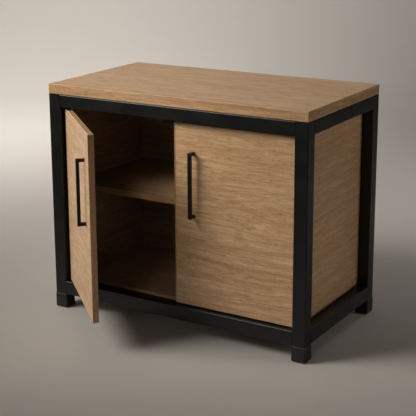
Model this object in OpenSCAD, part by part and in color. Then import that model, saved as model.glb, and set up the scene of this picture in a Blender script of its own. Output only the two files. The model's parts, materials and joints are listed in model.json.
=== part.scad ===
// Sideboard buffet: an oak veneered cabinet with two doors in a black square-tube frame.
// Millimetres. The origin is on the floor under the middle of the frame.
// +X points to the right-hand side, +Y to the back and +Z up. The doors are at the front, -Y.

/* [Overall] */
// Width over the frame
body_w = 900; // [700:10:1200]
// Depth over the frame
body_d = 490; // [400:10:600]
// Height from the floor to the top of the slab
body_h = 738; // [600:1:900]
// How far the left door stands open in the rest position, in degrees
left_open = 43; // [0:0.5:90]

/* [Frame] */
// Width of the square tube that the posts and rails are cut from
tube = 42; // [34:1:54]
// Wall thickness of the tube
wall = 2; // [1.5:0.5:3]
// Outside corner radius of the tube
tube_r = 2.5; // [1:0.5:4]
// Height of the upper rails
rail_top_h = 40; // [32:1:60]
// Height of the lower rails
rail_low_h = 44; // [36:1:60]
// Thickness of the threaded plates welded in the rail ends
plate_t = 5; // [4:0.5:8]
// Diameter of the bolts that hold the rails to the posts
bolt_d = 8; // [6:1:10]

/* [Feet] */
// Height of a foot from the floor to the post
foot_h = 48; // [40:1:80]
// How far a foot stands out past the post on each side
foot_proud = 1.5; // [0.5:0.5:4]
// Length of the spigot that enters the post
spigot_h = 10; // [6:1:12]
// Thickness of the felt pad under a foot
felt_t = 2; // [1:0.5:4]

/* [Boards] */
// Thickness of the top slab
slab_t = 30; // [18:1:40]
// Thickness of the sealing strip between the frame and the slab
seal_t = 1.5; // [1:0.5:4]
// Thickness of the cabinet boards
board_t = 18; // [16:1:22]
// Thickness of the shelf
shelf_t = 20; // [16:1:25]
// Height of the shelf above the bottom board
shelf_up = 296; // [150:1:400]
// Thickness of the back panel
back_t = 6; // [3:0.5:8]
// Height of the bottom board's upper face above the lower rails
bottom_rise = 9; // [4:1:16]
// Space between the upper rails and the top board's underside
top_drop = 2; // [1:0.5:6]
// How far the side boards stand out past the inner faces of the side rails
side_lap = 7; // [4:0.5:12]

/* [Doors] */
// Thickness of a door
door_t = 18; // [16:1:22]
// Setback of the doors behind the front of the frame
door_recess = 20; // [16:1:24]
// Gap between a door and the post on its hinge side
side_gap = 2.5; // [2:0.5:5]
// Gap between the two doors
middle_gap = 4; // [2:0.5:8]
// Gap under the doors
low_gap = 4; // [4:0.5:8]
// Gap over the doors
top_gap = 7; // [4:0.5:12]
// Width of the solid oak lipping on a door's upright edges
lip_w = 4; // [2:0.5:8]
// Diameter of the pivot pins
pin_d = 5; // [4:0.5:6]

/* [Handles] */
// Thickness of the square handle bar
bar = 10; // [8:1:14]
// Distance between the two handle screws
handle_pitch = 192; // [96:32:320]
// Distance from the door to the outer face of the bar
handle_reach = 26; // [22:1:40]
// Distance from the door's free edge to the middle of the bar
handle_in = 66; // [30:1:120]
// Distance from the top of the door to the end of the bar
handle_drop = 82; // [30:1:160]
// Diameter of the handle screws
handle_screw_d = 4; // [3:0.5:5]

/* [Hidden] */
$fn = 48;
play = 0.3;
bore_play = 0.25;
pin_play = 0.05;
board_play = 1;
cut_over = 1;

// Frame levels and inner faces
frame_top = body_h - slab_t - seal_t;
low_top = foot_h + rail_low_h;
top_under = frame_top - rail_top_h;
low_mid = foot_h + rail_low_h / 2;
top_mid = frame_top - rail_top_h / 2;
span_x = body_w - 2 * tube;
span_y = body_d - 2 * tube;
front = -body_d / 2;
post_x = (body_w - tube) / 2;
post_y = (body_d - tube) / 2;
inner_tube = tube - 2 * wall;
cap_t = 4;
bolt_head_d = 1.6 * bolt_d;
bolt_head_t = 0.6 * bolt_d;
bolt_end = 3;
bolt_l = wall + plate_t + bolt_end;
felt_in = 3;

// Doors
door_y = front + door_recess;
door_back = door_y + door_t;
door_x0 = -span_x / 2 + side_gap;
door_x1 = -middle_gap / 2;
door_z0 = low_top + low_gap;
door_z1 = top_under - top_gap;

// Cabinet boards
back_gap = 5;
board_y0 = front + max(tube + board_play, door_recess + door_t + back_gap);
board_y1 = body_d / 2 - tube - board_play;
board_w = span_x - 2 * board_play;
bottom_top = low_top + bottom_rise;
ceiling = top_under - top_drop;
inner_x = span_x / 2 + side_lap - board_t;
groove_d = 6;
groove_play = 0.15;
back_inset = 12;
back_y = board_y1 - back_inset - back_t;
shelf_set = 2;
shelf_y0 = board_y0 + shelf_set;
shelf_y1 = back_y - shelf_set;
shelf_z = bottom_top + shelf_up;
shelf_pin_d = 5;
shelf_pin_in = 10;
shelf_pin_out = 9;
shelf_pitch = 32;
shelf_pin_row = 60;
shelf_pin_ys = [board_y0 + shelf_pin_row, back_y - shelf_pin_row];
dowel_d = 6;
dowel_l = 30;
dowel_low = 11;
dowel_row = 50;
dowel_x = (inner_x + board_w / 2) / 2;
dowel_ys = [board_y0 + dowel_row, back_y - dowel_row];

// Fixing tabs and their screws
tab_w = 30;
tab_d = 24;
tab_t = 3;
tab_hole = 14;
screw_d = 4;
screw_head_d = 8;
screw_head_t = 2.2;
board_screw_in = board_t - groove_d - play;
slab_screw_in = 16;
board_screw_l = tab_t + board_screw_in;
slab_screw_l = tab_t + seal_t + slab_screw_in;
tab_from_side = 150;
tab_from_front = 90;
slab_tab_in = 70;
tab_xs = [-span_x / 2 + tab_from_side, span_x / 2 - tab_from_side];
tab_ys = [-span_y / 2 + tab_from_front, span_y / 2 - tab_from_front];
slab_tab_xs = [-span_x / 2 + slab_tab_in, 0, span_x / 2 - slab_tab_in];
seal_in = 4;
seal_w = 24;

// Door pivots: a pin beside the front corner at each end of a door
pin_edge = 1;
pivot_in = pin_d / 2 + pin_edge;
pivot_x = span_x / 2 - side_gap - pivot_in;
pivot_y = door_y + pivot_in;
hinge_t = 2;
hinge_l = 40;
hinge_edge = 0.5;
hinge_back = 1;
hinge_w = door_t - hinge_edge - hinge_back;
hinge_screw_d = 3.5;
hinge_screw_l = 22;
hinge_head_d = 7;
hinge_head_t = 0.8;
hinge_screw_xs = [16, 30];
bush_wall = 1.5;
bush_d = pin_d + 2 * bush_wall;
bush_l = 8;
flange_out = 1.5;
flange_d = bush_d + 2 * flange_out;
flange_t = 1;
pin_short = 1;
pin_in = bush_l - pin_short;

// Magnetic catches and buffers
catch_x = 35;
catch_w = 34;
catch_under = 15;
catch_h = 16;
catch_gap = 0.6;
catch_screw_d = 3;
catch_screw_x = 11;
catch_screw_y = 6;
catch_screw_in = 12;
catch_head_d = 6;
catch_head_t = 1;
strike_w = 24;
strike_h = 11;
strike_t = 1.4;
strike_down = 7;
spike_d = 3;
spike_l = 6;
catch_y = door_back + strike_t + catch_gap;
catch_d = board_y0 + catch_under - catch_y;
buffer_d = 7;
buffer_gap = 0.9;
buffer_up = 16;

// Handles
leg_l = handle_reach - bar;
handle_l = handle_pitch + bar;
handle_x = door_x1 - handle_in;
handle_z = door_z1 - handle_drop - handle_l / 2;
leg_solid = 4;
thread_l = leg_l - leg_solid;
thread_gap = 1;
handle_head_d = 8;
handle_head_t = 2.5;

oak = [0.74, 0.60, 0.43];
black = [0.09, 0.09, 0.10];
steel = [0.62, 0.63, 0.65];

// A rectangle with rounded corners, centred
module soft_rect(w, h, r) {
  square([w - 2 * r, h], center = true);
  square([w, h - 2 * r], center = true);
  for (sx = [-1, 1], sy = [-1, 1])
    translate([sx * (w / 2 - r), sy * (h / 2 - r)]) circle(r);
}

// The hollow section of a tube
module tube_section(w, h) {
  difference() {
    soft_rect(w, h, tube_r);
    square([w - 2 * wall, h - 2 * wall], center = true);
  }
}

// A box from one corner to the opposite one
module block(from, to) {
  translate(from) cube(to - from);
}

// Draws what is made for the right rear corner at any corner
module at_corner(sx, sy) {
  translate([sx * post_x, sy * post_y, 0])
    mirror([sx < 0 ? 1 : 0, 0, 0])
      mirror([0, sy < 0 ? 1 : 0, 0]) children();
}

// Places a bolt axis on the post's inner faces: children point along +Z into the rail
module at_bolts() {
  for (z = [low_mid, top_mid]) {
    translate([-tube / 2 + wall, 0, z]) rotate([0, -90, 0]) children();
    translate([0, -tube / 2 + wall, z]) rotate([90, 0, 0]) children();
  }
}

module post(sx, sy) {
  color(black) at_corner(sx, sy) difference() {
    translate([0, 0, foot_h]) linear_extrude(frame_top - foot_h) tube_section(tube, tube);
    at_bolts() translate([0, 0, -wall / 2]) cylinder(d = bolt_d + 2 * bore_play, h = 2 * wall);
  }
}

module rail_x(h) {
  rotate([90, 0, 90]) linear_extrude(span_x, center = true) tube_section(tube, h);
}

module rail_y(h) {
  rotate([90, 0, 0]) linear_extrude(span_y, center = true) tube_section(tube, h);
}

// The four bushes' outer shapes: flange outside the rail, sleeve inside it
module bush_bodies(r) {
  for (sx = [-1, 1]) {
    translate([sx * pivot_x, pivot_y, low_top - bush_l]) cylinder(r = r, h = bush_l);
    translate([sx * pivot_x, pivot_y, top_under]) cylinder(r = r, h = bush_l);
  }
}

module rail_front_low() {
  color(black) difference() {
    translate([0, -post_y, low_mid]) rail_x(rail_low_h);
    bush_bodies(bush_d / 2);
  }
}

module rail_front_top() {
  color(black) difference() {
    translate([0, -post_y, top_mid]) rail_x(rail_top_h);
    bush_bodies(bush_d / 2);
  }
}

module rail_rear_low() {
  color(black) translate([0, post_y, low_mid]) rail_x(rail_low_h);
}

module rail_rear_top() {
  color(black) translate([0, post_y, top_mid]) rail_x(rail_top_h);
}

module side_rail(sx, z, h) {
  color(black) translate([sx * post_x, 0, z]) rail_y(h);
}

module foot(sx, sy) {
  color(black) at_corner(sx, sy) {
    translate([0, 0, felt_t]) linear_extrude(foot_h - felt_t)
      soft_rect(tube + 2 * foot_proud, tube + 2 * foot_proud, tube_r + foot_proud);
    translate([0, 0, foot_h]) linear_extrude(spigot_h)
      square(inner_tube - 2 * bore_play, center = true);
  }
}

module foot_felts() {
  color([0.2, 0.2, 0.2]) for (sx = [-1, 1], sy = [-1, 1]) at_corner(sx, sy)
    linear_extrude(felt_t) soft_rect(tube - 2 * felt_in, tube - 2 * felt_in, tube_r);
}

module post_caps() {
  color(black) for (sx = [-1, 1], sy = [-1, 1]) at_corner(sx, sy)
    translate([0, 0, frame_top - cap_t]) linear_extrude(cap_t) square(inner_tube, center = true);
}

// The threaded plates in the ends of the rails that meet one post
module corner_plates(z, h) {
  for (turn = [0, 90])
    mirror([turn > 0 ? 1 : 0, turn > 0 ? -1 : 0, 0])
      translate([-tube / 2 - plate_t, -inner_tube / 2, z - h / 2 + wall])
        cube([plate_t, inner_tube, h - 2 * wall]);
}

module rail_plates() {
  color(steel) difference() {
    for (sx = [-1, 1], sy = [-1, 1]) at_corner(sx, sy) difference() {
      union() {
        corner_plates(low_mid, rail_low_h);
        corner_plates(top_mid, rail_top_h);
      }
      at_bolts() cylinder(d = bolt_d, h = wall + plate_t + cut_over);
    }
    bush_bodies(bush_d / 2);
  }
}

module frame_bolts() {
  color(steel) for (sx = [-1, 1], sy = [-1, 1]) at_corner(sx, sy) at_bolts() {
    translate([0, 0, -bolt_head_t]) cylinder(d = bolt_head_d, h = bolt_head_t);
    cylinder(d = bolt_d, h = bolt_l);
  }
}

// A tab under z = 0 that stands out from a rail face along +Y, and its screw along +Z
module tab() {
  difference() {
    translate([-tab_w / 2, 0, -tab_t]) cube([tab_w, tab_d, tab_t]);
    translate([0, tab_hole, -2 * tab_t]) cylinder(d = screw_d + 2 * bore_play, h = 3 * tab_t);
  }
}

module tab_screw(l) {
  translate([0, tab_hole, -tab_t]) {
    translate([0, 0, -screw_head_t]) cylinder(d = screw_head_d, h = screw_head_t);
    cylinder(d = screw_d, h = l);
  }
}

// Draws children at each of the rails' inner faces, at the given stations
module on_rails(xs, ys) {
  for (sy = [-1, 1], x = xs)
    mirror([0, sy > 0 ? 1 : 0, 0]) translate([x, -span_y / 2, 0]) children();
  for (sx = [-1, 1], y = ys)
    mirror([sx > 0 ? 1 : 0, 0, 0]) translate([-span_x / 2, y, 0]) rotate([0, 0, -90]) children();
}

// Draws children at all the tabs that hold the bottom board and, turned over, the top board
module at_board_tabs() {
  translate([0, 0, bottom_top - board_t]) on_rails(tab_xs, tab_ys) children();
  translate([0, 0, ceiling + board_t]) mirror([0, 0, 1]) on_rails(tab_xs, tab_ys) children();
}

module board_tabs() {
  color(black) at_board_tabs() tab();
}

module board_screws() {
  color(steel) at_board_tabs() tab_screw(board_screw_l);
}

module slab_tabs() {
  color(black) translate([0, 0, frame_top]) on_rails(slab_tab_xs, [0]) tab();
}

module slab_screws() {
  color(steel) translate([0, 0, frame_top]) on_rails(slab_tab_xs, [0]) tab_screw(slab_screw_l);
}

module slab_seal() {
  color(black) translate([0, 0, frame_top]) linear_extrude(seal_t) difference() {
    square([body_w - 2 * seal_in, body_d - 2 * seal_in], center = true);
    square([body_w - 2 * (seal_in + seal_w), body_d - 2 * (seal_in + seal_w)], center = true);
  }
}

module slab_top() {
  color(oak) difference() {
    translate([0, 0, body_h - slab_t / 2]) cube([body_w, body_d, slab_t], center = true);
    slab_screws();
  }
}

// The groove that the back panel's edge enters, in every board around it
module back_groove() {
  block([-inner_x - groove_d, back_y - groove_play, bottom_top - groove_d],
        [inner_x + groove_d, back_y + back_t + groove_play, ceiling + groove_d]);
}

module at_dowels() {
  for (sx = [-1, 1], y = dowel_ys) {
    translate([sx * dowel_x, y, bottom_top - dowel_low]) children();
    translate([sx * dowel_x, y, ceiling + dowel_low - dowel_l]) children();
  }
}

module dowels() {
  color(oak) at_dowels() cylinder(d = dowel_d, h = dowel_l);
}

module bottom_board() {
  color(oak) difference() {
    block([-board_w / 2, board_y0, bottom_top - board_t], [board_w / 2, board_y1, bottom_top]);
    back_groove();
    at_dowels() cylinder(d = dowel_d, h = dowel_l);
    at_board_tabs() tab_screw(board_screw_l);
  }
}

module top_board() {
  color(oak) difference() {
    block([-board_w / 2, board_y0, ceiling], [board_w / 2, board_y1, ceiling + board_t]);
    back_groove();
    at_dowels() cylinder(d = dowel_d, h = dowel_l);
    at_board_tabs() tab_screw(board_screw_l);
    catch_screws();
  }
}

module side_board(sx) {
  color(oak) difference() {
    mirror([sx < 0 ? 1 : 0, 0, 0])
      block([inner_x, board_y0, bottom_top], [inner_x + board_t, board_y1, ceiling]);
    back_groove();
    at_dowels() cylinder(d = dowel_d, h = dowel_l);
    for (y = shelf_pin_ys, step = [-1 : 1])
      translate([sx * inner_x, y, shelf_z - shelf_pin_d / 2 + step * shelf_pitch])
        rotate([0, sx * 90, 0]) cylinder(d = shelf_pin_d, h = shelf_pin_in);
  }
}

module back_panel() {
  color(oak) block([-inner_x - groove_d + play, back_y, bottom_top - groove_d + play],
                   [inner_x + groove_d - play, back_y + back_t, ceiling + groove_d - play]);
}

module shelf() {
  color(oak) block([-inner_x + board_play, shelf_y0, shelf_z],
                   [inner_x - board_play, shelf_y1, shelf_z + shelf_t]);
}

module shelf_pins() {
  color(steel) for (sx = [-1, 1], y = shelf_pin_ys)
    translate([sx * (inner_x - shelf_pin_out), y, shelf_z - shelf_pin_d / 2])
      rotate([0, sx * 90, 0]) cylinder(d = shelf_pin_d, h = shelf_pin_in + shelf_pin_out);
}

module pivot_bushes() {
  color([0.85, 0.85, 0.82]) difference() {
    union() {
      bush_bodies(bush_d / 2);
      for (sx = [-1, 1]) {
        translate([sx * pivot_x, pivot_y, low_top]) cylinder(d = flange_d, h = flange_t);
        translate([sx * pivot_x, pivot_y, top_under - flange_t])
          cylinder(d = flange_d, h = flange_t);
      }
    }
    for (sx = [-1, 1]) {
      translate([sx * pivot_x, pivot_y, low_top - 2 * bush_l])
        cylinder(d = pin_d + 2 * pin_play, h = 3 * bush_l);
      translate([sx * pivot_x, pivot_y, top_under - bush_l])
        cylinder(d = pin_d + 2 * pin_play, h = 3 * bush_l);
    }
  }
}

module catch_screw() {
  translate([0, 0, -catch_h - catch_head_t]) cylinder(d = catch_head_d, h = catch_head_t);
  translate([0, 0, -catch_h]) cylinder(d = catch_screw_d, h = catch_h + catch_screw_in);
}

module at_catch_screws() {
  for (sx = [-1, 1], side = [-1, 1])
    translate([sx * catch_x + side * catch_screw_x, board_y0 + catch_screw_y, ceiling]) children();
}

module catch_screws() {
  color(steel) at_catch_screws() catch_screw();
}

module catches() {
  color(black) difference() {
    for (sx = [-1, 1])
      translate([sx * catch_x - catch_w / 2, catch_y, ceiling - catch_h])
        cube([catch_w, catch_d, catch_h]);
    catch_screws();
  }
}

module door_buffers() {
  color([0.8, 0.8, 0.8])
    for (sx = [-1, 1], z = [bottom_top + buffer_up, ceiling - 2 * buffer_up])
      translate([sx * (inner_x + buffer_d / 2), board_y0, z]) rotate([90, 0, 0])
        cylinder(d = buffer_d, h = board_y0 - door_back - buffer_gap);
}

// Turns what is made for the closed left door to its rest position
module left_hung() {
  translate([-pivot_x, pivot_y, 0]) rotate([0, 0, -left_open])
    translate([pivot_x, -pivot_y, 0]) children();
}

// The right door is the left one's mirror image, closed
module right_hung() {
  mirror([1, 0, 0]) children();
}

module at_hinge_screws() {
  for (x = hinge_screw_xs) {
    translate([door_x0 + x, door_y + door_t / 2, door_z0 - hinge_t]) children();
    translate([door_x0 + x, door_y + door_t / 2, door_z1 + hinge_t]) mirror([0, 0, 1]) children();
  }
}

module at_handle_screws() {
  for (side = [-1, 1])
    translate([handle_x, door_back, handle_z + side * handle_pitch / 2])
      rotate([90, 0, 0]) children();
}

module spike(l) {
  translate([-catch_x, door_back, door_z1 - strike_down]) rotate([90, 0, 0])
    cylinder(d = spike_d, h = l);
}

module door() {
  color(oak) difference() {
    block([door_x0 + lip_w, door_y, door_z0], [door_x1 - lip_w, door_back, door_z1]);
    at_hinge_screws() cylinder(d = hinge_screw_d, h = hinge_screw_l);
    at_handle_screws() translate([0, 0, -cut_over])
      cylinder(d = handle_screw_d + 2 * bore_play, h = door_t + 2 * cut_over);
    spike(spike_l);
  }
}

module door_lippings() {
  color(oak) {
    block([door_x0, door_y, door_z0], [door_x0 + lip_w, door_back, door_z1]);
    block([door_x1 - lip_w, door_y, door_z0], [door_x1, door_back, door_z1]);
  }
}

module hinge_plate(z) {
  difference() {
    translate([door_x0, door_y + hinge_edge, z]) cube([hinge_l, hinge_w, hinge_t]);
    at_hinge_screws() translate([0, 0, -hinge_t]) cylinder(d = hinge_screw_d, h = 3 * hinge_t);
  }
}

module pivot_plates() {
  shoulder_h = low_gap - hinge_t - flange_t - play;
  color(steel) {
    hinge_plate(door_z0 - hinge_t);
    hinge_plate(door_z1);
    translate([-pivot_x, pivot_y, low_top - pin_in])
      cylinder(d = pin_d, h = door_z0 - low_top + pin_in - hinge_t / 2);
    translate([-pivot_x, pivot_y, door_z0 - hinge_t - shoulder_h])
      cylinder(r = pivot_in, h = shoulder_h);
    translate([-pivot_x, pivot_y, door_z1 + hinge_t / 2])
      cylinder(d = pin_d, h = top_under - door_z1 + pin_in - hinge_t / 2);
  }
}

module pivot_screws() {
  color(steel) at_hinge_screws() {
    cylinder(d = hinge_screw_d, h = hinge_screw_l);
    translate([0, 0, -hinge_head_t]) cylinder(d = hinge_head_d, h = hinge_head_t);
  }
}

module strike() {
  color(steel) {
    translate([-catch_x - strike_w / 2, door_back, door_z1 - strike_down - strike_h / 2])
      cube([strike_w, strike_t, strike_h]);
    spike(spike_l);
  }
}

module handle() {
  color(black) difference() {
    union() {
      translate([handle_x - bar / 2, door_y - handle_reach, handle_z - handle_l / 2])
        cube([bar, bar, handle_l]);
      for (side = [-1, 1])
        translate([handle_x - bar / 2, door_y - leg_l - bar / 2,
                   handle_z + side * handle_pitch / 2 - bar / 2])
          cube([bar, leg_l + bar / 2, bar]);
    }
    at_handle_screws() cylinder(d = handle_screw_d, h = door_t + thread_l);
  }
}

module handle_screws() {
  color(steel) at_handle_screws() {
    translate([0, 0, -handle_head_t]) cylinder(d = handle_head_d, h = handle_head_t);
    cylinder(d = handle_screw_d, h = door_t + thread_l - thread_gap);
  }
}

post(-1, -1);  // post_front_left
post(1, -1);  // post_front_right
post(-1, 1);  // post_rear_left
post(1, 1);  // post_rear_right
rail_front_low();
rail_front_top();
rail_rear_low();
rail_rear_top();
side_rail(-1, low_mid, rail_low_h);  // rail_left_low
side_rail(-1, top_mid, rail_top_h);  // rail_left_top
side_rail(1, low_mid, rail_low_h);  // rail_right_low
side_rail(1, top_mid, rail_top_h);  // rail_right_top
foot(-1, -1);  // foot_front_left
foot(1, -1);  // foot_front_right
foot(-1, 1);  // foot_rear_left
foot(1, 1);  // foot_rear_right
foot_felts();
post_caps();
rail_plates();
frame_bolts();
board_tabs();
board_screws();
slab_tabs();
slab_screws();
slab_seal();
slab_top();
bottom_board();
top_board();
side_board(-1);  // side_board_left
side_board(1);  // side_board_right
back_panel();
dowels();
shelf();
shelf_pins();
pivot_bushes();
catches();
catch_screws();
door_buffers();
left_hung() door();  // left_door
left_hung() door_lippings();  // left_door_lippings
left_hung() pivot_plates();  // left_pivot_plates
left_hung() pivot_screws();  // left_pivot_screws
left_hung() strike();  // left_strike
left_hung() handle();  // left_handle
left_hung() handle_screws();  // left_handle_screws
right_hung() door();  // right_door
right_hung() door_lippings();  // right_door_lippings
right_hung() pivot_plates();  // right_pivot_plates
right_hung() pivot_screws();  // right_pivot_screws
right_hung() strike();  // right_strike
right_hung() handle();  // right_handle
right_hung() handle_screws();  // right_handle_screws
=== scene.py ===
import json
import math
import bmesh
import bpy
from mathutils import Matrix, Vector


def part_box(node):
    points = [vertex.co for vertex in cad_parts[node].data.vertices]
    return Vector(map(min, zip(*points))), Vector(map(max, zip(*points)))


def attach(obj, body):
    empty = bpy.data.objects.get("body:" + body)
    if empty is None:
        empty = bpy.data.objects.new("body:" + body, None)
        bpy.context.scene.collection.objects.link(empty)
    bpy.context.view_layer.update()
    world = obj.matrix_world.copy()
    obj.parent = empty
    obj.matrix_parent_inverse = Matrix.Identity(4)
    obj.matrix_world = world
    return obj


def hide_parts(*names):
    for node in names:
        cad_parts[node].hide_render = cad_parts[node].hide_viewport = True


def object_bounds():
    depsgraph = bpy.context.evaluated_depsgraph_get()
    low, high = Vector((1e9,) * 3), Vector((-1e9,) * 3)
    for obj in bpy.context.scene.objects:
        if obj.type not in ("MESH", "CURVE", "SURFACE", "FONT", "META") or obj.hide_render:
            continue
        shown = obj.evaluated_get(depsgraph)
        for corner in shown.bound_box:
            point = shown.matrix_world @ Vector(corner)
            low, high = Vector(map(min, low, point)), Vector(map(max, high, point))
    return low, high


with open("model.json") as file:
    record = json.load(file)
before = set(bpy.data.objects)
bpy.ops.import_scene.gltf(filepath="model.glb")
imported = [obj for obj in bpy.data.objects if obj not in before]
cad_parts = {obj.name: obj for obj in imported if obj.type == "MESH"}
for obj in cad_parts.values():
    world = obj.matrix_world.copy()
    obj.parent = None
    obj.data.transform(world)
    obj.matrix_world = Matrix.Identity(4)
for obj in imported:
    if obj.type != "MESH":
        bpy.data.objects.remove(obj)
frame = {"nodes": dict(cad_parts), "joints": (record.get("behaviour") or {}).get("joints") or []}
cadLow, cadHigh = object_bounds()
mm = 0.001  # everything below is in metres
mergeGap = 0.01 * mm  # corners nearer than this are one

joints = {joint["name"]: joint for joint in frame["joints"]}
leftPivot = Vector(joints["left_door_hinge"]["pos_m"])
leftTurn = math.radians(joints["left_door_hinge"]["range_deg"][0])  # from closed to the rest angle
print("frame loaded:", len(frame["nodes"]), "nodes")


# small helpers

def toLinear(hexText):
    shades = [int(hexText[i:i + 2], 16) / 255 for i in (1, 3, 5)]
    linear = [s / 12.92 if s <= 0.04045 else ((s + 0.055) / 1.055) ** 2.4 for s in shades]
    return (*linear, 1.0)


def fillInputs(tree, node, inputs):
    # a node stands for its first output, and a list makes several links into one socket
    for key, value in inputs.items():
        for source in value if isinstance(value, list) else [value]:
            if isinstance(source, bpy.types.Node):
                source = source.outputs[0]
            if isinstance(source, bpy.types.NodeSocket):
                tree.links.new(source, node.inputs[key])
            else:
                node.inputs[key].default_value = source


def addNode(tree, kind, inputs, **settings):
    node = tree.nodes.new(kind)
    for key, value in settings.items():
        setattr(node, key, value)
    fillInputs(tree, node, inputs)
    return node


def startMaterial(name, settings):
    material = bpy.data.materials.new(name)
    material.use_nodes = True
    shader = material.node_tree.nodes["Principled BSDF"]
    fillInputs(material.node_tree, shader, settings)
    return material, material.node_tree, shader


def setRamp(node, stops):
    ramp = node.color_ramp
    while len(ramp.elements) < len(stops):
        ramp.elements.new(0.5)
    for element, (place, shade) in zip(ramp.elements, stops):
        element.position = place
        element.color = toLinear(shade) if isinstance(shade, str) else (shade, shade, shade, 1)
    return node


def mottle(tree, where, size, detail=2.0, roughness=0.5):
    # soft random spots or streaks: size is the length of one along each axis
    scaled = addNode(tree, "ShaderNodeVectorMath", {0: where, 1: size}, operation="DIVIDE")
    return addNode(tree, "ShaderNodeTexNoise", {"Vector": scaled, "Scale": 1.0, "Detail": detail,
                   "Roughness": roughness})


def layColours(tree, shade, layers):
    # lays each (blend, amount, colour) over the shade in turn; a mix node's colours are its inputs
    # 6 and 7 and its output 2
    for blend, amount, colour in layers:
        mixed = addNode(tree, "ShaderNodeMix", {0: amount, 6: shade, 7: colour}, data_type="RGBA",
                        blend_type=blend)
        shade = mixed.outputs[2]
    return shade


# oak

oakLook = {
    "pale": "#CCAD88",
    "warm": "#BB9770",
    "deep": "#A6815A",
    "line": "#8A6740",
    "pore": "#6A4C2E",
    "swing": 30 * mm,  # how far the grain wanders to either side
    "swingSize": (340 * mm, 85 * mm, 85 * mm),
    "band": (300 * mm, 9 * mm, 9 * mm),
    "lineGap": (450 * mm, 17 * mm, 17 * mm),
    "linePatch": (260 * mm, 70 * mm, 70 * mm),
    "fibre": (52 * mm, 4 * mm, 4 * mm),  # well under a millimetre wide in oak, drawn wide to show
    "poreSize": (20 * mm, 3 * mm, 3 * mm),  # 0.3 mm wide in oak, drawn ten times as coarse to show
    "cloud": (300 * mm, 110 * mm, 110 * mm),
    "roughness": 0.44,
    "poreRoughness": 0.16,
    "relief": 0.15 * mm,
}
grainTurns = {"x": (0, 0, 0), "y": (0, 0, -math.pi / 2), "z": (0, math.pi / 2, 0)}


def grainCoords(tree, grain, shift, turned):
    where = addNode(tree, "ShaderNodeTexCoord", {}).outputs["Object"]
    if turned:  # the open door carries its pattern round with it
        where = addNode(tree, "ShaderNodeMapping", {"Vector": where, "Location": leftPivot,
                        "Rotation": (0, 0, leftTurn)}, vector_type="TEXTURE")
    return addNode(tree, "ShaderNodeMapping", {"Vector": where, "Location": shift,
                   "Rotation": grainTurns[grain]})


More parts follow.
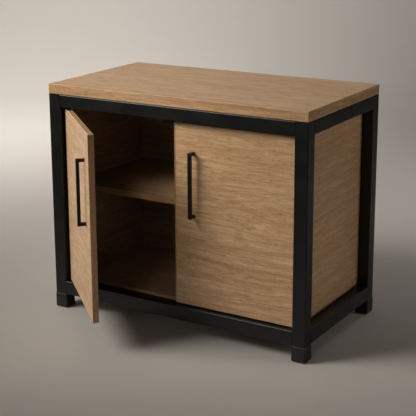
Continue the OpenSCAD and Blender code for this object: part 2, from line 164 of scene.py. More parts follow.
def oakVeneer(name, grain="x", shift=(0, 0, 0), turned=False, contrast=1.0, short=1.0, porous=0.40,
              paintedShade="#FFFFFF", paintedSheen=0.0):
    # Flat cut oak veneer under matt lacquer: long wandering bands, darker late-wood lines in
    # patches, short open pores that break the surface, and next to no gloss. grain is the axis that
    # the fibres run along, shift is where the leaf is cut from, short scales the streaks' length,
    # porous darkens the pores, a colour multiplied over the whole is painted shade, and white laid
    # over the whole is a painted sheen.
    material, tree, shader = startMaterial(name, {"IOR": 1.5, "Specular IOR Level": 0.5})
    along = grainCoords(tree, grain, shift, turned)
    reach = 2 * oakLook["swing"]
    drift = mottle(tree, along, oakLook["swingSize"])
    swing = addNode(tree, "ShaderNodeMath", {0: drift, 1: reach, 2: -reach / 2},
                    operation="MULTIPLY_ADD")
    bend = addNode(tree, "ShaderNodeCombineXYZ", {"Y": swing, "Z": swing})
    bent = addNode(tree, "ShaderNodeVectorMath", {0: along, 1: bend}, operation="ADD")
    # a shorter grain shortens its streaks and leaves their width
    band, fibre, pore = [(oakLook[key][0] * short, *oakLook[key][1:])
                         for key in ("band", "fibre", "poreSize")]

    bands = mottle(tree, bent, band, 4.0, 0.7)
    spread = 0.20 / contrast
    shade = setRamp(addNode(tree, "ShaderNodeValToRGB", {"Fac": bands}), [
        (0.5 - spread, oakLook["deep"]), (0.5, oakLook["warm"]), (0.5 + spread, oakLook["pale"])])
    scaled = addNode(tree, "ShaderNodeVectorMath", {0: bent, 1: oakLook["lineGap"]},
                     operation="DIVIDE")
    # a wave at this scale repeats once in each unit
    lines = addNode(tree, "ShaderNodeTexWave", {"Vector": scaled, "Scale": 0.314, "Distortion": 4.5,
                    "Detail": 3.0, "Detail Scale": 0.6, "Detail Roughness": 0.6},
                    bands_direction="DIAGONAL").outputs["Fac"]
    lines = setRamp(addNode(tree, "ShaderNodeValToRGB", {"Fac": lines}), [(0.60, 0.0), (0.98, 1.0)])
    patches = mottle(tree, along, oakLook["linePatch"])
    patches = setRamp(addNode(tree, "ShaderNodeValToRGB", {"Fac": patches}), [
        (0.42, 0.0), (0.68, 0.30 * contrast)])
    lineShare = addNode(tree, "ShaderNodeMath", {0: lines, 1: patches}, operation="MULTIPLY")
    fibres = mottle(tree, bent, fibre, 3.0, 0.7)
    fibres = setRamp(addNode(tree, "ShaderNodeValToRGB", {"Fac": fibres}), [
        (0.36, 0.74), (0.62, 1.0)])
    pores = mottle(tree, bent, pore, 2.0, 0.6)
    pores = setRamp(addNode(tree, "ShaderNodeValToRGB", {"Fac": pores}), [(0.56, 0.0), (0.68, 1.0)])
    poreShare = addNode(tree, "ShaderNodeMath", {0: pores, 1: porous * contrast},
                        operation="MULTIPLY")
    cloud = mottle(tree, along, oakLook["cloud"], 1.0)
    cloud = setRamp(addNode(tree, "ShaderNodeValToRGB", {"Fac": cloud}), [(0.3, 0.86), (0.7, 1.0)])
    shade = layColours(tree, shade, [
        ("MIX", lineShare, toLinear(oakLook["line"])),
        ("MULTIPLY", min(0.85 * contrast, 1.0), fibres),
        ("MIX", poreShare, toLinear(oakLook["pore"])),
        ("MULTIPLY", 0.6, cloud),
        # painted shade: a darker colour multiplied over the whole
        ("MULTIPLY", 1.0, toLinear(paintedShade)),
        # painted sheen: white laid over the whole
        ("MIX", paintedSheen, toLinear("#FFFFFF"))])

    rough = addNode(tree, "ShaderNodeMath", {0: pores, 1: oakLook["poreRoughness"],
                    2: oakLook["roughness"]}, operation="MULTIPLY_ADD")
    relief = addNode(tree, "ShaderNodeMath", {0: bands, 1: pores}, operation="SUBTRACT")
    bump = addNode(tree, "ShaderNodeBump", {"Height": relief, "Strength": 0.35,
                   "Distance": oakLook["relief"]})
    fillInputs(tree, shader, {"Base Color": shade, "Roughness": rough, "Normal": bump})
    return material


plies = {
    # the first two stops, pale and wide at the front, are the face veneer's line plus a painted
    # highlight on the front arris
    "stripes": [(0.00, "#EFDDC4"), (0.12, "#E3C9A6"), (0.15, "#8A6844"), (0.20, "#A7845B"),
                (0.38, "#80603E"), (0.48, "#B08D63"), (0.64, "#84633F"), (0.76, "#A9865D"),
                (0.90, "#8A6844"), (0.93, "#CBA87D")],
    "grain": (30 * mm, 0.8 * mm, 0.8 * mm),
}


def pliesEdge(name, low, high, turned=False):
    # The sanded end of a layered board under lacquer: thin dark and pale stripes the length of the
    # edge, with the pale line of the face veneer at each side; the front one is drawn paler and
    # wider as a painted highlight along the front arris.
    material, tree, shader = startMaterial(name, {"IOR": 1.5, "Specular IOR Level": 0.4,
                                                  "Roughness": 0.6})
    along = grainCoords(tree, "x", (0, 0, 0), turned)
    depth = addNode(tree, "ShaderNodeSeparateXYZ", {0: along}).outputs["Y"]
    across = addNode(tree, "ShaderNodeMapRange", {"Value": depth, "From Min": low,
                     "From Max": high})
    stripes = setRamp(addNode(tree, "ShaderNodeValToRGB", {"Fac": across}), plies["stripes"])
    grain = mottle(tree, along, plies["grain"], 3.0)
    grain = setRamp(addNode(tree, "ShaderNodeValToRGB", {"Fac": grain}), [
        (0.35, 0.72), (0.65, 1.0)])
    shade = layColours(tree, stripes, [("MULTIPLY", 1.0, grain)])
    fillInputs(tree, shader, {"Base Color": shade})
    return material


# painted, plated and moulded finishes

surfaces = {
    "peel": 1.1 * mm,  # orange peel in powder coat
    "flow": 60 * mm,  # smoother patches in it
    "spark": 0.7 * mm,  # the mould's grain is about 0.1 mm, drawn coarser to show
    "spangle": 6 * mm,  # clouds in zinc
    "drawn": (0.25 * mm, 0.25 * mm, 5 * mm),  # lines left by the wire's die
    "felt": (2.5 * mm, 0.4 * mm, 0.4 * mm),  # wool fibre is 0.03 mm, drawn coarser to show
    "relief": 0.05 * mm,
    "feltRelief": 0.3 * mm,
}


def powderCoat(name, colour, roughness):
    # Baked matt black powder on steel: a fine orange peel about 1 mm across that breaks up the
    # sheen, and slightly smoother patches where the powder flowed out.
    material, tree, shader = startMaterial(name, {"IOR": 1.5, "Specular IOR Level": 0.42})
    where = addNode(tree, "ShaderNodeTexCoord", {}).outputs["Object"]
    peel = mottle(tree, where, (surfaces["peel"],) * 3)
    flow = mottle(tree, where, (surfaces["flow"],) * 3)
    rough = addNode(tree, "ShaderNodeMapRange", {"Value": flow, "From Min": 0.3, "From Max": 0.7,
                    "To Min": roughness - 0.05, "To Max": roughness + 0.05})
    speck = setRamp(addNode(tree, "ShaderNodeValToRGB", {"Fac": peel}), [(0.35, 0.8), (0.65, 1.0)])
    shade = layColours(tree, toLinear(colour), [("MULTIPLY", 0.5, speck)])
    bump = addNode(tree, "ShaderNodeBump", {"Height": peel, "Strength": 0.25,
                   "Distance": surfaces["relief"]})
    fillInputs(tree, shader, {"Base Color": shade, "Roughness": rough, "Normal": bump})
    return material


def mouldedPlastic(name, colour, roughness):
    # Spark-textured moulded plastic: an even fine grain that spreads the highlight.
    material, tree, shader = startMaterial(name, {"IOR": 1.47})
    where = addNode(tree, "ShaderNodeTexCoord", {}).outputs["Object"]
    spark = mottle(tree, where, (surfaces["spark"],) * 3, 3.0, 0.6)
    rough = addNode(tree, "ShaderNodeMapRange", {"Value": spark, "From Min": 0.3, "From Max": 0.7,
                    "To Min": roughness - 0.06, "To Max": roughness + 0.08})
    speck = setRamp(addNode(tree, "ShaderNodeValToRGB", {"Fac": spark}), [(0.3, 0.85), (0.7, 1.0)])
    shade = layColours(tree, toLinear(colour), [("MULTIPLY", 0.6, speck)])
    bump = addNode(tree, "ShaderNodeBump", {"Height": spark, "Strength": 0.3,
                   "Distance": surfaces["relief"]})
    fillInputs(tree, shader, {"Base Color": shade, "Roughness": rough, "Normal": bump})
    return material


def zincPlate(name):
    # Bright zinc plating on steel: a cool silver with faint cloudy spangle and fine drawn lines.
    material, tree, shader = startMaterial(name, {"Metallic": 1.0})
    where = addNode(tree, "ShaderNodeTexCoord", {}).outputs["Object"]
    cloud = mottle(tree, where, (surfaces["spangle"],) * 3, 3.0)
    shade = setRamp(addNode(tree, "ShaderNodeValToRGB", {"Fac": cloud}), [
        (0.3, "#A9ABAD"), (0.7, "#C6C8CB")])
    drawn = mottle(tree, where, surfaces["drawn"])
    rough = addNode(tree, "ShaderNodeMapRange", {"Value": drawn, "From Min": 0.3, "From Max": 0.7,
                    "To Min": 0.26, "To Max": 0.42})
    fillInputs(tree, shader, {"Base Color": shade, "Roughness": rough})
    return material


def pressedFelt(name, colour):
    # Pressed wool felt: a dull tangle of short fibres with a soft edge sheen.
    material, tree, shader = startMaterial(name, {"Roughness": 0.95, "Specular IOR Level": 0.2,
                                                  "Sheen Weight": 0.4, "Sheen Roughness": 0.5})
    where = addNode(tree, "ShaderNodeTexCoord", {}).outputs["Object"]
    fibre = mottle(tree, where, surfaces["felt"], 4.0, 0.7)
    speck = setRamp(addNode(tree, "ShaderNodeValToRGB", {"Fac": fibre}), [(0.3, 0.45), (0.7, 1.0)])
    shade = layColours(tree, toLinear(colour), [("MULTIPLY", 1.0, speck)])
    bump = addNode(tree, "ShaderNodeBump", {"Height": fibre, "Strength": 0.8,
                   "Distance": surfaces["feltRelief"]})
    fillInputs(tree, shader, {"Base Color": shade, "Normal": bump})
    return material


finishes = {
    "frame": powderCoat("PowderCoatMattBlack", "#070A0C", 0.37),
    "handle": powderCoat("PowderCoatSatinBlack", "#0A0B0D", 0.34),
    "foot": mouldedPlastic("MouldedPolypropyleneBlack", "#121213", 0.45),
    "seal": mouldedPlastic("ExtrudedRubberBlack", "#151515", 0.75),
    "catch": mouldedPlastic("MouldedCatchNylonBlack", "#1E1E20", 0.45),
    "nylon": mouldedPlastic("MouldedNylonBushBlack", "#18181A", 0.38),
    "buffer": mouldedPlastic("CastPolyurethaneClear", "#D5D6D2", 0.30),
    "zinc": zincPlate("ZincPlatedSteel"),
    "blackZinc": powderCoat("BlackZincPlate", "#121213", 0.42),
    "felt": pressedFelt("PressedWoolFelt", "#4A4A4B"),
    "dowel": oakVeneer("TurnedBeech", "z", (0.3, 0.2, 0.1), contrast=0.4),  # plain, close grain
}
clearShader = finishes["buffer"].node_tree.nodes["Principled BSDF"]
clearShader.inputs["Transmission Weight"].default_value = 0.5
print("finishes made:", len(finishes))


# boards: veneered panels with eased edges

def boxMesh(name, low, high):
    mesh = bpy.data.meshes.new(name)
    form = bmesh.new()
    bmesh.ops.create_cube(form, size=1.0)
    for vert in form.verts:
        vert.co = Vector(low[i] if vert.co[i] < 0 else high[i] for i in range(3))
    form.to_mesh(mesh)
    form.free()
    return mesh


def addObject(name, mesh):
    piece = bpy.data.objects.new(name, mesh)
    bpy.context.scene.collection.objects.link(piece)
    return piece


def hangLeft(mesh):
    # from the closed right leaf to the left one, standing open
    toPivot = Matrix.Translation(-leftPivot)
    mesh.transform(Matrix.Scale(-1, 4, (1, 0, 0)))
    mesh.flip_normals()
    mesh.transform(toPivot.inverted() @ Matrix.Rotation(leftTurn, 4, "Z") @ toPivot)


def addBevel(piece, width, segments=3):
    bevel = piece.modifiers.new("easedEdges", "BEVEL")
    bevel.width = width
    bevel.segments = segments
    bevel.limit_method = "ANGLE"
    bevel.angle_limit = math.radians(30)


def finishPiece(piece, body, nodes):
    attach(piece, body)
    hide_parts(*nodes)


def makeBoard(name, low, high, materials, sides, ease, body, node, left=False):
    # sides gives the material's place in the list for faces that look along x, y and z
    mesh = boxMesh(name, low, high)
    for material in materials:
        mesh.materials.append(material)
    for face in mesh.polygons:
        axis = max(range(3), key=lambda i: abs(face.normal[i]))
        face.material_index = sides[axis]
    if left:
        hangLeft(mesh)
    piece = addObject(name, mesh)
    addBevel(piece, ease)
    finishPiece(piece, body, [node])


boards = {
    "slabEase": 1.2 * mm,
    "boardEase": 0.8 * mm,
    "backEase": 0.3 * mm,
    "inside": "#E2E5E7",  # painted shade: the boards inside are laid darker and a little cooler to darken the interior
    "banding": "#DDD8D2",  # painted shade: the board edges are laid darker than their faces
    "slabBanding": "#F5F3F1",  # painted shade: the slab's edges are laid a little darker than its face
}
# painted sheen: white is laid over the slab's face
slabFace = oakVeneer("OakVeneerSlab", "x", (0.21, 0.40, 0.0), contrast=1.2, short=2.4,
                     paintedSheen=0.025)
slabEnd = oakVeneer("OakBandingSlabEnd", "y", (0.7, 0.1, 0.3), contrast=1.1, short=1.3,
                    porous=0.6, paintedShade=boards["slabBanding"])
slabFront = oakVeneer("OakBandingSlabFront", "x", (1.3, 0.5, 0.2), contrast=0.95, short=1.3,
                      porous=0.6, paintedShade=boards["slabBanding"])
low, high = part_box("slab_top")
makeBoard("slabTop", low, high, [slabFace, slabEnd, slabFront], (1, 2, 0), boards["slabEase"],
          "cabinet", "slab_top")

boardFace = oakVeneer("OakVeneerBoards", "x", (0.9, 0.13, 0.57), paintedShade=boards["inside"])
# painted sheen: white is laid over the bottom board's face to brighten it
bottomFace = oakVeneer("OakVeneerBottom", "x", (0.4, 0.63, 0.27), paintedSheen=0.02)
boardEnd = oakVeneer("OakBandingBoards", "x", (2.9, 0.33, 0.17), short=0.7,
                     paintedShade=boards["banding"])
for name, node, face in (("bottomBoard", "bottom_board", bottomFace),
                         ("topBoard", "top_board", boardFace), ("shelfBoard", "shelf", boardFace)):
    low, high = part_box(node)
    makeBoard(name, low, high, [face, boardEnd], (1, 1, 0), boards["boardEase"], "cabinet", node)

sideFace = oakVeneer("OakVeneerSides", "y", (0.37, 0.81, 0.22), contrast=0.85, short=0.8)
sideEdge = oakVeneer("OakBandingSides", "z", (0.11, 0.42, 0.92), short=0.7,
                     paintedShade=boards["banding"])
for side in ("left", "right"):
    low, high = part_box("side_board_" + side)
    makeBoard("sideBoard" + side.title(), low, high, [sideFace, sideEdge], (0, 1, 1),
              boards["boardEase"], "cabinet", "side_board_" + side)
backFace = oakVeneer("OakVeneerBack", "x", (0.15, 0.3, 1.7), contrast=0.8, paintedShade=boards["inside"])
low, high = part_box("back_panel")
makeBoard("backPanel", low, high, [backFace], (0, 0, 0), boards["backEase"], "cabinet",
          "back_panel")
print("boards made")


# doors: a veneered core between two solid lippings

doors = {
    "ease": 1.0 * mm,
    "lippingEase": 0.5 * mm,
    "contrast": 1.15,
    "shift": {"left": (0.52, 0.27, 0.63), "right": (1.9, 0.71, 0.34)},  # where the grain is cut
    "paintedSheen": {"left": 0.045, "right": 0.0},  # painted sheen: the left leaf, seen at a grazing angle, has white laid over it
    "lipping": "#D9CFC5",  # painted shade: the lippings are laid darker than the door's face
}


def makeDoor(side):
    left = side == "left"
    body = side + "_door_leaf"
    low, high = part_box("right_door")
    edgeLow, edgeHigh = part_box("right_door_lippings")
    face = oakVeneer("OakVeneerDoor" + side.title(), "x", doors["shift"][side], left,
                     contrast=doors["contrast"], paintedSheen=doors["paintedSheen"][side])
    base = leftPivot.y if left else 0.0  # the left leaf's pattern is measured from its pivot
    edge = pliesEdge("DoorPlies" + side.title(), low.y - base, high.y - base, left)
    makeBoard(side + "Door", low, high, [face, edge], (0, 0, 1), doors["ease"], body,
              side + "_door", left)
    lipping = oakVeneer("OakLipping" + side.title(), "z", (0.31, 0.22, 0.47), left, contrast=0.9,
                        short=0.8, paintedShade=doors["lipping"])
    strips = bmesh.new()
    for xLow, xHigh in ((edgeLow.x, low.x), (high.x, edgeHigh.x)):
        strips.from_mesh(boxMesh("strip", (xLow, edgeLow.y, edgeLow.z),
                                 (xHigh, edgeHigh.y, edgeHigh.z)))
    mesh = bpy.data.meshes.new(side + "Lippings")
    strips.to_mesh(mesh)
    strips.free()
    mesh.materials.append(lipping)
    if left:
        hangLeft(mesh)
    piece = addObject(side + "Lippings", mesh)
    addBevel(piece, doors["lippingEase"])
    finishPiece(piece, body, [side + "_door_lippings"])


for side in ("left", "right"):
    makeDoor(side)
print("doors made")


# handles: one square bar bent back at each end

handles = {"ease": 0.7 * mm}


def makeHandle(side):
    low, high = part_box("right_handle")
    bar = high.x - low.x
    outline = [(low.y, low.z), (high.y, low.z), (high.y, low.z + bar),
               (low.y + bar, low.z + bar), (low.y + bar, high.z - bar), (high.y, high.z - bar),
               (high.y, high.z), (low.y, high.z)]
    form = bmesh.new()
    near = [form.verts.new((low.x, y, z)) for y, z in outline]
    face = form.faces.new(near)
    grown = bmesh.ops.extrude_face_region(form, geom=[face])["geom"]
    far = [item for item in grown if isinstance(item, bmesh.types.BMVert)]
    bmesh.ops.translate(form, verts=far, vec=(bar, 0, 0))
    bmesh.ops.recalc_face_normals(form, faces=form.faces)
    mesh = bpy.data.meshes.new(side + "Handle")
    form.to_mesh(mesh)
    form.free()
    mesh.materials.append(finishes["handle"])
    if side == "left":
        hangLeft(mesh)
    piece = addObject(side + "Handle", mesh)
    addBevel(piece, handles["ease"])
    finishPiece(piece, side + "_door_leaf", [side + "_handle"])


for side in ("left", "right"):
    makeHandle(side)
print("handles made")


# fasteners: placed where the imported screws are, with real heads

def splitSolids(name):
    # the corner points and the box of each separate solid in a node
    form = bmesh.new()
    form.from_mesh(frame["nodes"][name].data)
    bmesh.ops.remove_doubles(form, verts=form.verts, dist=mergeGap)
    solids, seen = [], set()
    for seed in form.verts:
        if seed in seen:
            continue
        group, reach = [], [seed]
        seen.add(seed)
        while reach:
            vert = reach.pop()
            group.append(vert.co.copy())
            for edge in vert.link_edges:
                other = edge.other_vert(vert)
                if other not in seen:
                    seen.add(other)
                    reach.append(other)
        low = Vector(min(co[i] for co in group) for i in range(3))
        high = Vector(max(co[i] for co in group) for i in range(3))
        solids.append((group, low, high))
    form.free()
    return solids


def findScrews(name):
    # start is the middle of the head's outer face, and way points along the screw
    found = []
    for points, low, high in splitSolids(name):
        middle = (low + high) / 2
        axis = max(range(3), key=lambda i: high[i] - low[i])
        reach = []
        for co in points:
            flat = co - middle
            flat[axis] = 0
            reach.append(flat.length)
        widest = max(reach)
        head = [co[axis] for co, far in zip(points, reach) if far > 0.9 * widest]
        rest = [far for far in reach if far <= 0.9 * widest]
        sign = 1 if sum(head) / len(head) <= middle[axis] else -1
        way = Vector((0, 0, 0))
        way[axis] = sign
        start = middle.copy()
        start[axis] = low[axis] if sign > 0 else high[axis]
        found.append({"start": start, "way": way, "headRadius": widest,
                      "headHeight": max(head) - min(head), "radius": max(rest, default=widest),
                      "length": high[axis] - low[axis]})
    return found


def pointMesh(found):
    mesh = bpy.data.meshes.new("points")
    mesh.from_pydata([item["start"] for item in found], [], [])
    ways = mesh.attributes.new("way", "FLOAT_VECTOR", "POINT")
    for place, item in zip(ways.data, found):
        place.vector = item["way"]
    return mesh


def startTree(name, sockets):
    tree = bpy.data.node_groups.new(name, "GeometryNodeTree")
    tree.interface.new_socket("Geometry", in_out="INPUT", socket_type="NodeSocketGeometry")
    for label, kind in sockets:
        tree.interface.new_socket(label, in_out="INPUT", socket_type="NodeSocket" + kind)
    tree.interface.new_socket("Geometry", in_out="OUTPUT", socket_type="NodeSocketGeometry")
    given = tree.nodes.new("NodeGroupInput").outputs
    return tree, given


def endTree(tree, geometry, material, smooth=True):
    shaded = addNode(tree, "GeometryNodeSetShadeSmooth", {"Geometry": geometry,
                     "Shade Smooth": smooth})
    finished = addNode(tree, "GeometryNodeSetMaterial", {"Geometry": shaded, "Material": material})
    addNode(tree, "NodeGroupOutput", {"Geometry": finished})


def placeAlong(tree, points, shape):
    # stands the shape on each point with its z axis along the point's way, and makes it real
    way = addNode(tree, "GeometryNodeInputNamedAttribute", {"Name": "way"},
                  data_type="FLOAT_VECTOR")
    turn = addNode(tree, "FunctionNodeAlignRotationToVector", {"Vector": way}, axis="Z")
    placed = addNode(tree, "GeometryNodeInstanceOnPoints", {"Points": points, "Instance": shape,
                     "Rotation": turn})
    return addNode(tree, "GeometryNodeRealizeInstances", {"Geometry": placed})


def liftMesh(tree, mesh, height):
    up = addNode(tree, "ShaderNodeCombineXYZ", {"Z": height})
    return addNode(tree, "GeometryNodeTransform", {"Geometry": mesh, "Translation": up})


def drawIn(tree, mesh, share):
    # each ring keeps its height and comes in to this share of its radius
    place = addNode(tree, "GeometryNodeInputPosition", {})
    scale = addNode(tree, "ShaderNodeCombineXYZ", {"X": share, "Y": share, "Z": 1.0})
    drawn = addNode(tree, "ShaderNodeVectorMath", {0: place, 1: scale}, operation="MULTIPLY")
    return addNode(tree, "GeometryNodeSetPosition", {"Geometry": mesh, "Position": drawn})


screws = {
    "pitch": 1.0 * mm,
    "dome": 0.22,  # how far the top of the head draws in, as a share of its radius
    "recess": (1.1, 0.26, 1.1),  # length, width and depth of a bar, as shares of the head's size
    "thread": 0.18,  # depth, as a share of the shank's radius
}


def screwTree():
    # A screw along +z from the top of its head: domed pan head, cross recess, ringed shank.
    tree, given = startTree("panScrew", [("Head Radius", "Float"), ("Head Height", "Float"),
                            ("Shank Radius", "Float"), ("Length", "Float"), ("Pitch", "Float"),
                            ("Material", "Material")])
    place = addNode(tree, "GeometryNodeInputPosition", {})
    depth = addNode(tree, "ShaderNodeSeparateXYZ", {0: place}).outputs["Z"]
    head = addNode(tree, "GeometryNodeMeshCylinder", {"Vertices": 32, "Side Segments": 6,
                   "Fill Segments": 3, "Radius": given["Head Radius"],
                   "Depth": given["Head Height"]})
    half = addNode(tree, "ShaderNodeMath", {0: given["Head Height"], 1: 0.5}, operation="MULTIPLY")
    head = liftMesh(tree, head, half)
    # the dome: rings draw in as they near the top at z = 0
    nearTop = addNode(tree, "ShaderNodeMapRange", {"Value": depth, "From Min": given["Head Height"],
                      "From Max": 0.0})
    curve = addNode(tree, "ShaderNodeMath", {0: nearTop, 1: 3.0}, operation="POWER")
    dome = addNode(tree, "ShaderNodeMath", {0: curve, 1: -screws["dome"], 2: 1.0},
                   operation="MULTIPLY_ADD")
    head = drawIn(tree, head, dome)
    # the recess: two crossed bars
    headSize = addNode(tree, "ShaderNodeCombineXYZ", {"X": given["Head Radius"],
                       "Y": given["Head Radius"], "Z": given["Head Height"]})
    long, wide, deep = screws["recess"]
    bars = []
    for shares in ((long, wide, deep), (wide, long, deep)):
        size = addNode(tree, "ShaderNodeVectorMath", {0: headSize, 1: shares}, operation="MULTIPLY")
        bars.append(addNode(tree, "GeometryNodeMeshCube", {"Size": size}))
    head = addNode(tree, "GeometryNodeMeshBoolean", {"Mesh 1": head, "Mesh 2": bars},
                   operation="DIFFERENCE")
    body = addNode(tree, "ShaderNodeMath", {0: given["Length"], 1: given["Head Height"]},
                   operation="SUBTRACT")
    shank = addNode(tree, "GeometryNodeMeshCylinder", {"Vertices": 16, "Side Segments": 24,
                    "Radius": given["Shank Radius"], "Depth": body})
    middle = addNode(tree, "ShaderNodeMath", {0: body, 1: 0.5, 2: given["Head Height"]},
                     operation="MULTIPLY_ADD")
    shank = liftMesh(tree, shank, middle)
    turns = addNode(tree, "ShaderNodeMath", {0: depth, 1: given["Pitch"]}, operation="DIVIDE")
    ridges = addNode(tree, "ShaderNodeMath", {0: turns, 1: 1.0}, operation="PINGPONG")
    thin = addNode(tree, "ShaderNodeMath", {0: ridges, 1: -screws["thread"], 2: 1.0},
                   operation="MULTIPLY_ADD")
    shank = drawIn(tree, shank, thin)
    whole = addNode(tree, "GeometryNodeJoinGeometry", {0: [head, shank]})
    endTree(tree, placeAlong(tree, given["Geometry"], whole), given["Material"], False)
    return tree


pins = {
    "tip": 0.6,  # how round the ends are, from 0 to 1
    "groove": 0.08,  # depth, as a share of the radius
    "grooveReach": 0.35,  # half its width, as a share of the radius
}


def pinTree():
    # A shelf pin along +z: rounded ends and a shallow groove where it meets the board.
    tree, given = startTree("shelfPin", [("Radius", "Float"), ("Length", "Float"),
                            ("Groove", "Float"), ("Material", "Material")])
    place = addNode(tree, "GeometryNodeInputPosition", {})
    height = addNode(tree, "ShaderNodeSeparateXYZ", {0: place}).outputs["Z"]
    away = addNode(tree, "ShaderNodeMath", {0: height}, operation="ABSOLUTE")
    rod = addNode(tree, "GeometryNodeMeshCylinder", {"Vertices": 32, "Side Segments": 38,
                  "Fill Segments": 4, "Radius": given["Radius"], "Depth": given["Length"]})
    half = addNode(tree, "ShaderNodeMath", {0: given["Length"], 1: 0.5}, operation="MULTIPLY")
    # the last radius of each end is rounded
    tip = addNode(tree, "ShaderNodeMath", {0: half, 1: given["Radius"]}, operation="SUBTRACT")
    nearTip = addNode(tree, "ShaderNodeMapRange", {"Value": away, "From Min": tip,
                      "From Max": half})
    curve = addNode(tree, "ShaderNodeMath", {0: nearTip, 1: 3.0}, operation="POWER")
    fall = addNode(tree, "ShaderNodeMath", {0: curve, 1: -pins["tip"], 2: 1.0},
                   operation="MULTIPLY_ADD")
    rounded = addNode(tree, "ShaderNodeMath", {0: fall}, operation="SQRT")
    # the groove runs round the middle of the pin
    reach = addNode(tree, "ShaderNodeMath", {0: given["Radius"], 1: pins["grooveReach"]},
                    operation="MULTIPLY")
    inside = addNode(tree, "ShaderNodeMath", {0: away, 1: reach}, operation="LESS_THAN")
    cutBack = addNode(tree, "ShaderNodeMath", {0: inside, 1: given["Groove"]},
                      operation="MULTIPLY")
    neck = addNode(tree, "ShaderNodeMath", {0: 1.0, 1: cutBack}, operation="SUBTRACT")
    share = addNode(tree, "ShaderNodeMath", {0: rounded, 1: neck}, operation="MULTIPLY")
    rod = liftMesh(tree, drawIn(tree, rod, share), half)
    endTree(tree, placeAlong(tree, given["Geometry"], rod), given["Material"])
    return tree


beads = {
    "radius": 1.7 * mm,
    "spacing": 1.5 * mm,
    "endGap": 2.5 * mm,  # bare tab at each end of a bead
    "least": (0.8, 0.9, 0.8),  # the smallest ripple, as shares of a full one
    "seed": 4,
}


def beadTree():
    # A weld bead along each edge of the given mesh: overlapping ripples of uneven size.
    tree, given = startTree("weldBead", [("Radius", "Float"), ("Spacing", "Float"), ("Seed", "Int"),
                            ("Material", "Material")])
    line = addNode(tree, "GeometryNodeMeshToCurve", {"Mesh": given["Geometry"]})
    steps = addNode(tree, "GeometryNodeResampleCurve", {"Curve": line,
                    "Length": given["Spacing"]}, mode="LENGTH")
    ripple = addNode(tree, "GeometryNodeMeshUVSphere", {"Segments": 10, "Rings": 6,
                     "Radius": given["Radius"]})
    uneven = addNode(tree, "FunctionNodeRandomValue", {"Min": beads["least"],
                     "Max": (1.0, 1.0, 1.0), "Seed": given["Seed"]}, data_type="FLOAT_VECTOR")
    placed = addNode(tree, "GeometryNodeInstanceOnPoints", {"Points": steps, "Instance": ripple,
                     "Scale": uneven})
    solid = addNode(tree, "GeometryNodeRealizeInstances", {"Geometry": placed})
    endTree(tree, solid, given["Material"])
    return tree


def growPiece(name, tree, base, values):
    holder = addObject(name + "Points", base)
    grow = holder.modifiers.new("grow", "NODES")
    grow.node_group = tree
    for item in tree.interface.items_tree:
        if item.in_out == "INPUT" and item.name in values:
            grow[item.identifier] = values[item.name]
    depsgraph = bpy.context.evaluated_depsgraph_get()
    mesh = bpy.data.meshes.new_from_object(holder.evaluated_get(depsgraph))
    mesh.name = name
    bpy.data.objects.remove(holder)
    return mesh


panScrew = screwTree()


def makeScrews(name, node, body, finish):
    found = findScrews(node.replace("left_", "right_"))
    screw = found[0]
    mesh = growPiece(name, panScrew, pointMesh(found), {
        "Head Radius": screw["headRadius"], "Head Height": screw["headHeight"],
        "Shank Radius": screw["radius"], "Length": screw["length"], "Pitch": screws["pitch"],
        "Material": finishes[finish]})
    if node.startswith("left_"):
        hangLeft(mesh)
    finishPiece(addObject(name, mesh), body, [node])


makeScrews("boardScrews", "board_screws", "cabinet", "zinc")
makeScrews("slabScrews", "slab_screws", "cabinet", "zinc")
makeScrews("catchScrews", "catch_screws", "cabinet", "blackZinc")
for side in ("left", "right"):
    body = side + "_door_leaf"
    makeScrews(side + "HandleScrews", side + "_handle_screws", body, "zinc")
    makeScrews(side + "PivotScrews", side + "_pivot_screws", body, "blackZinc")

found = findScrews("shelf_pins")
mesh = growPiece("shelfPins", pinTree(), pointMesh(found), {
    "Radius": found[0]["headRadius"], "Length": found[0]["length"], "Groove": pins["groove"],
    "Material": finishes["zinc"]})
finishPiece(addObject("shelfPins", mesh), "cabinet", ["shelf_pins"])


def tabRoots(name):
    # the line where each tab meets its rail, on the side away from its board
    corners, lines = [], []
    for points, low, high in splitSolids(name):
        onTop = name == "board_tabs" and low.z > cadHigh.z / 2
        run = 0 if high.x - low.x > high.y - low.y else 1
        across = 1 - run
        for end in (low[run] + beads["endGap"], high[run] - beads["endGap"]):
            corner = Vector((0, 0, high.z if onTop else low.z))
            corner[run] = end
            corner[across] = low[across] if abs(low[across]) > abs(high[across]) else high[across]
            corners.append(corner)
        lines.append((len(corners) - 2, len(corners) - 1))
    mesh = bpy.data.meshes.new("roots")
    mesh.from_pydata(corners, lines, [])
    return mesh


weldBead = beadTree()
for name, node in (("boardTabWelds", "board_tabs"), ("slabTabWelds", "slab_tabs")):
    mesh = growPiece(name, weldBead, tabRoots(node), {
        "Radius": beads["radius"], "Spacing": beads["spacing"], "Seed": beads["seed"],
        "Material": finishes["frame"]})
    piece = addObject(name, mesh)
    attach(piece, "cabinet")
print("fasteners made")


# feet and pads: stacked rounded squares

def ringStack(name, centres, rings, material, turns=8):
    # rings gives (height, half width, corner radius) from the bottom up
    form = bmesh.new()
    for cx, cy in centres:
        loops = []
        for height, half, radius in rings:
            loop = []
            for corner in range(4):
                for step in range(turns + 1):
                    angle = math.pi / 2 * (corner + step / turns)
                    sx = 1 if corner in (0, 3) else -1
                    sy = 1 if corner in (0, 1) else -1
                    x = cx + sx * (half - radius) + radius * math.cos(angle)
                    y = cy + sy * (half - radius) + radius * math.sin(angle)
                    loop.append(form.verts.new((x, y, height)))
            loops.append(loop)
        count = len(loops[0])
        form.faces.new(list(reversed(loops[0])))
        form.faces.new(loops[-1])
        for lower, upper in zip(loops, loops[1:]):
            for i in range(count):
                j = (i + 1) % count
                form.faces.new((lower[i], lower[j], upper[j], upper[i]))
    mesh = bpy.data.meshes.new(name)
    form.to_mesh(mesh)
    form.free()
    mesh.materials.append(material)
    return mesh


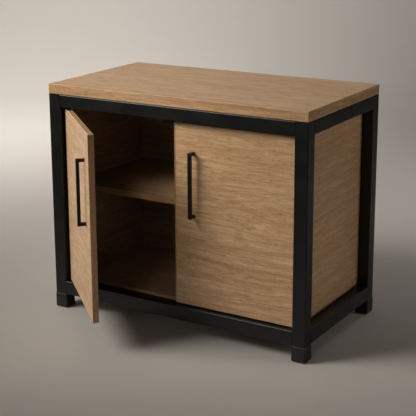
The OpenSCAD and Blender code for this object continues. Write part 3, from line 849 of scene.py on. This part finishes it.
feet = {"bottomEase": 1.2 * mm, "ledge": 1.6 * mm, "cornerRadius": 4 * mm, "topGap": 0.2 * mm}
pads = {"cornerRadius": 2.5 * mm, "ease": 0.5 * mm, "topEase": 0.4 * mm, "shoulder": 1.4 * mm}
postLow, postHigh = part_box("post_front_left")
footLow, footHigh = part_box("foot_front_left")
feltLow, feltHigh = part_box("foot_felts")
halfPost = (postHigh.x - postLow.x) / 2
halfFoot = halfPost + (postLow.x - footLow.x)
footTop = postLow.z
footX, footY = -(footHigh.x + footLow.x) / 2, -(footHigh.y + footLow.y) / 2
corners = [(sx * footX, sy * footY) for sx in (-1, 1) for sy in (-1, 1)]
ease, ledge, outer = feet["bottomEase"], feet["ledge"], feet["cornerRadius"]
mesh = ringStack("feet", corners, [
    (footLow.z, halfFoot - ease, outer - ease / 2),
    (footLow.z + ease / 3, halfFoot - ease / 3, outer),
    (footLow.z + ease, halfFoot, outer),
    (footTop - ledge, halfFoot, outer),
    (footTop - ledge / 3, halfFoot - ledge / 3, outer),
    (footTop, halfPost - feet["topGap"], outer - ledge)], finishes["foot"])
finishPiece(addObject("feet", mesh), "cabinet", ["foot_front_left", "foot_front_right",
            "foot_rear_left", "foot_rear_right"])
halfFelt = feltHigh.x - footX
ease, outer = pads["ease"], pads["cornerRadius"]
mesh = ringStack("feltPads", corners, [
    (feltLow.z, halfFelt - ease, outer - ease), (feltLow.z + ease, halfFelt, outer),
    (feltLow.z + pads["shoulder"], halfFelt, outer),
    (feltHigh.z, halfFelt - pads["topEase"], outer - ease)], finishes["felt"])
finishPiece(addObject("feltPads", mesh), "cabinet", ["foot_felts"])
print("feet made")


# nodes shown as they were packed, with a finish and, on the small ones, eased edges

kept = {
    "frame": ["post_front_left", "post_front_right", "post_rear_left", "post_rear_right",
              "rail_front_low", "rail_front_top", "rail_rear_low", "rail_rear_top", "rail_left_low",
              "rail_left_top", "rail_right_low", "rail_right_top", "post_caps", "board_tabs",
              "slab_tabs"],
    "seal": ["slab_seal"],
    "catch": ["catches"],
    "nylon": ["pivot_bushes"],
    "buffer": ["door_buffers"],
    "dowel": ["dowels"],
    "zinc": ["rail_plates", "frame_bolts"],
    "blackZinc": ["left_pivot_plates", "left_strike", "right_pivot_plates", "right_strike"],
}
for finish, names in kept.items():
    for name in names:
        node = frame["nodes"][name]
        node.data.materials.clear()
        node.data.materials.append(finishes[finish])
eased = {
    "board_tabs": 0.6 * mm,
    "slab_tabs": 0.6 * mm,
    "catches": 0.8 * mm,
    "pivot_bushes": 0.2 * mm,
    "door_buffers": 0.8 * mm,
    "left_strike": 0.3 * mm,
    "right_strike": 0.3 * mm,
    "left_pivot_plates": 0.3 * mm,
    "right_pivot_plates": 0.3 * mm,
}
for name, width in eased.items():
    node = frame["nodes"][name]
    weld = node.modifiers.new("weld", "WELD")
    weld.merge_threshold = mergeGap
    addBevel(node, width, 2)
print("frame finished")


# studio: pale seamless floor, soft key from the front left

studio = {
    "floorColour": "#9F9C98",
    "radius": 5.0,
    "cove": 1.4,  # radius of the curve between floor and wall
    "wallHeight": 4.0,
    "coveSteps": 12,
    "turns": 96,
    "worldShade": "#B9C0C8",
    "worldStrength": 0.015,
}
lights = {
    "key": {"place": (-1.48, -1.50, 2.05), "aim": (-0.05, -0.10, 0.64), "size": 1.7, "power": 16.3,
            "colour": "#FFF7EE", "spread": 60},
    "fill": {"place": (1.6, -3.4, 2.6), "aim": (0.0, 0.0, 0.6), "size": 2.0, "power": 0.6,
             "colour": "#FFFFFF", "spread": 90},
    "low": {"place": (0.35, -3.0, 1.0), "aim": (-0.12, 0.0, 0.12), "size": 0.6, "power": 0.22,
            "colour": "#FFF7EE", "spread": 24},
    "side": {"place": (2.9, 0.9, 1.5), "aim": (0.45, 0.0, 0.4), "size": 1.4, "power": 1.8,
             "colour": "#FFF3E6", "spread": 50},
    "rear": {"place": (0.8, 2.6, 2.6), "aim": (0.4, 1.6, 0.0), "size": 1.2, "power": 4.5,
             "colour": "#FFF9F2", "spread": 60},
    "wash": {"place": (-2.2, 1.2, 3.4), "aim": (-2.9, 4.2, 0.4), "size": 2.4, "power": 70.0,
             "colour": "#FFF9F2", "spread": 100},
    "pool": {"place": (-2.3, 0.8, 3.2), "aim": (-2.2, 1.4, 0.0), "size": 2.0, "power": 40.0,
             "colour": "#FFF9F2", "spread": 75},
    "frontWall": {"place": (0.6, -3.0, 3.4), "aim": (1.2, -5.0, 0.5), "size": 2.4, "power": 22.0,
                  "colour": "#FFF9F2", "spread": 120},
    "rightWall": {"place": (3.2, 0.6, 3.4), "aim": (5.0, 0.8, 0.5), "size": 2.4, "power": 19.0,
                  "colour": "#FFF9F2", "spread": 110},
}


def makeBackdrop():
    # a round floor that curves up into a wall; the profile gives (radius, height) from the floor up
    cove, steps, turns = studio["cove"], studio["coveSteps"], studio["turns"]
    inner = studio["radius"] - cove
    profile = [(inner, 0.0)]
    for step in range(1, steps + 1):
        angle = math.pi / 2 * step / steps
        profile.append((inner + cove * math.sin(angle), cove - cove * math.cos(angle)))
    profile.append((studio["radius"], studio["wallHeight"]))
    form = bmesh.new()
    rings = []
    for radius, height in profile:
        rings.append([form.verts.new((radius * math.cos(2 * math.pi * i / turns),
                                      radius * math.sin(2 * math.pi * i / turns), height))
                      for i in range(turns)])
    form.faces.new(rings[0])
    for lower, upper in zip(rings, rings[1:]):
        for i in range(turns):
            form.faces.new((lower[i], lower[(i + 1) % turns], upper[(i + 1) % turns], upper[i]))
    bmesh.ops.recalc_face_normals(form, faces=form.faces)
    for face in form.faces:
        face.smooth = True
    mesh = bpy.data.meshes.new("backdrop")
    form.to_mesh(mesh)
    form.free()
    material, tree, shader = startMaterial("PaintedFloor", {"Roughness": 0.75,
                                           "Base Color": toLinear(studio["floorColour"])})
    mesh.materials.append(material)
    backdrop = addObject("backdrop", mesh)


def addLight(name, given):
    lamp = bpy.data.lights.new(name, "AREA")
    lamp.shape = "DISK"
    lamp.size = given["size"]
    lamp.energy = given["power"]
    lamp.spread = math.radians(given["spread"])
    lamp.color = toLinear(given["colour"])[:3]
    light = bpy.data.objects.new(name, lamp)
    light.location = given["place"]
    facing = Vector(given["aim"]) - Vector(given["place"])
    light.rotation_euler = facing.to_track_quat("-Z", "Y").to_euler()
    light.visible_camera = False
    bpy.context.scene.collection.objects.link(light)


makeBackdrop()
for name, given in lights.items():
    addLight(name, given)
world = bpy.data.worlds.new("room")
world.use_nodes = True
fillInputs(world.node_tree, world.node_tree.nodes["Background"], {
    "Color": toLinear(studio["worldShade"]), "Strength": studio["worldStrength"]})
bpy.context.scene.world = world

camera = {
    "place": (1.7619, -2.9583, 1.3490),
    "turn": 0.5668,
    "pitch": -0.2430,
    "roll": -0.0102,
    "lens": 97.56,
    "shiftX": 0.067,
    "shiftY": -0.115,
}
lens = bpy.data.cameras.new("camera")
lens.lens = camera["lens"]
lens.shift_x, lens.shift_y = camera["shiftX"], camera["shiftY"]
eye = bpy.data.objects.new("camera", lens)
eye.matrix_world = (Matrix.Translation(camera["place"]) @ Matrix.Rotation(camera["turn"], 4, "Z")
                    @ Matrix.Rotation(math.pi / 2 + camera["pitch"], 4, "X")
                    @ Matrix.Rotation(camera["roll"], 4, "Z"))
bpy.context.scene.collection.objects.link(eye)
bpy.context.scene.camera = eye
bpy.context.scene.view_settings.view_transform = "Standard"
print("studio made")
